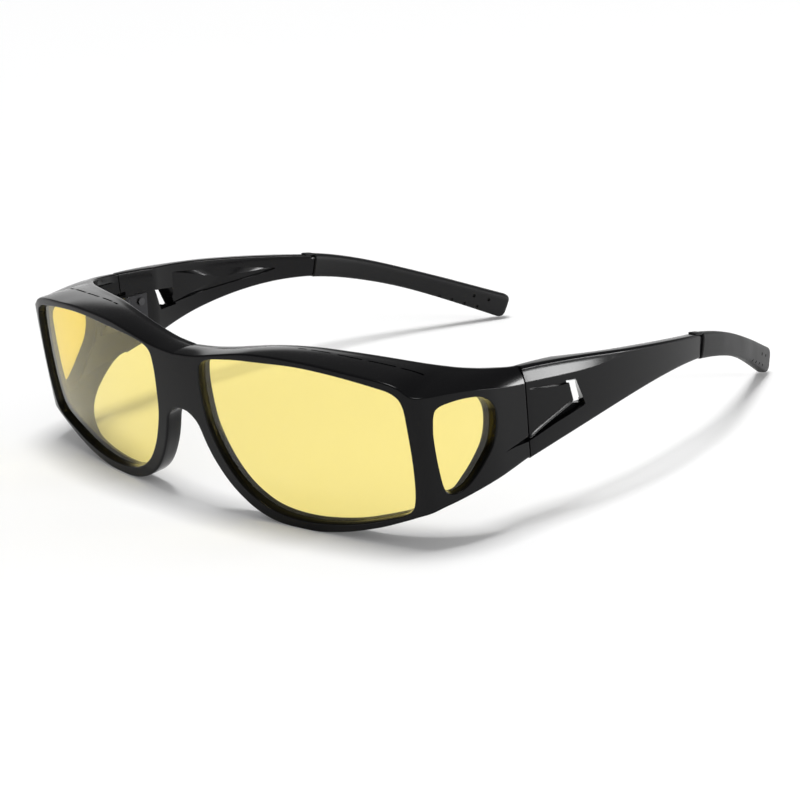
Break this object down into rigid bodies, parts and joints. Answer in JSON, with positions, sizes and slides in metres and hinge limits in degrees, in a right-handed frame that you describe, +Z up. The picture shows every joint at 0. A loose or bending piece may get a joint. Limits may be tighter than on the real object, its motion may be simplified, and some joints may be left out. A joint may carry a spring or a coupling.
{
  "type": "night driving glasses",
  "caption": "Wraparound driving glasses with clear yellow front and side lenses, a brow shelf and folding temples, worn over other glasses.",
  "frame": {"origin": "middle of the table footprint, on the table plane that the rims and temple tips rest on", "axes": "X across the face with +X on the wearer's left, -Y forwards out of the lenses, +Y back along the open temples, +Z up"},
  "size_m": [0.1482, 0.1738, 0.043],
  "materials": {
    "frame": "moulded glossy black plastic",
    "lens": "clear yellow tinted plastic lens",
    "tip": "fine matt dark grey soft plastic",
    "hinge_metal": "black-plated steel leaf",
    "screw_metal": "black-plated steel screw"
  },
  "bodies": {
    "front": {"front_frame": "frame", "front_lens_left": "lens", "front_lens_right": "lens", "side_lens_left": "lens", "side_lens_right": "lens", "hinge_frame_leaf_left": "hinge_metal", "hinge_frame_leaf_right": "hinge_metal", "hinge_screw_left": "screw_metal", "hinge_screw_right": "screw_metal", "frame_leaf_screws_left": "screw_metal", "frame_leaf_screws_right": "screw_metal"},
    "arm_left": {"temple_left": "frame", "temple_tip_left": "tip", "hinge_temple_leaf_left": "hinge_metal", "temple_leaf_screws_left": "screw_metal"},
    "arm_right": {"temple_right": "frame", "temple_tip_right": "tip", "hinge_temple_leaf_right": "hinge_metal", "temple_leaf_screws_right": "screw_metal"}
  },
  "joints": [
    {"name": "fold_left", "type": "hinge", "parent": "front", "child": "arm_left", "pos_m": [0.0679, -0.0449, 0.027], "axis": [0, 0, 1], "range_deg": [0, 88]},
    {"name": "fold_right", "type": "hinge", "parent": "front", "child": "arm_right", "pos_m": [-0.0679, -0.0449, 0.027], "axis": [0, 0, -1], "range_deg": [0, 78]}
  ]
}
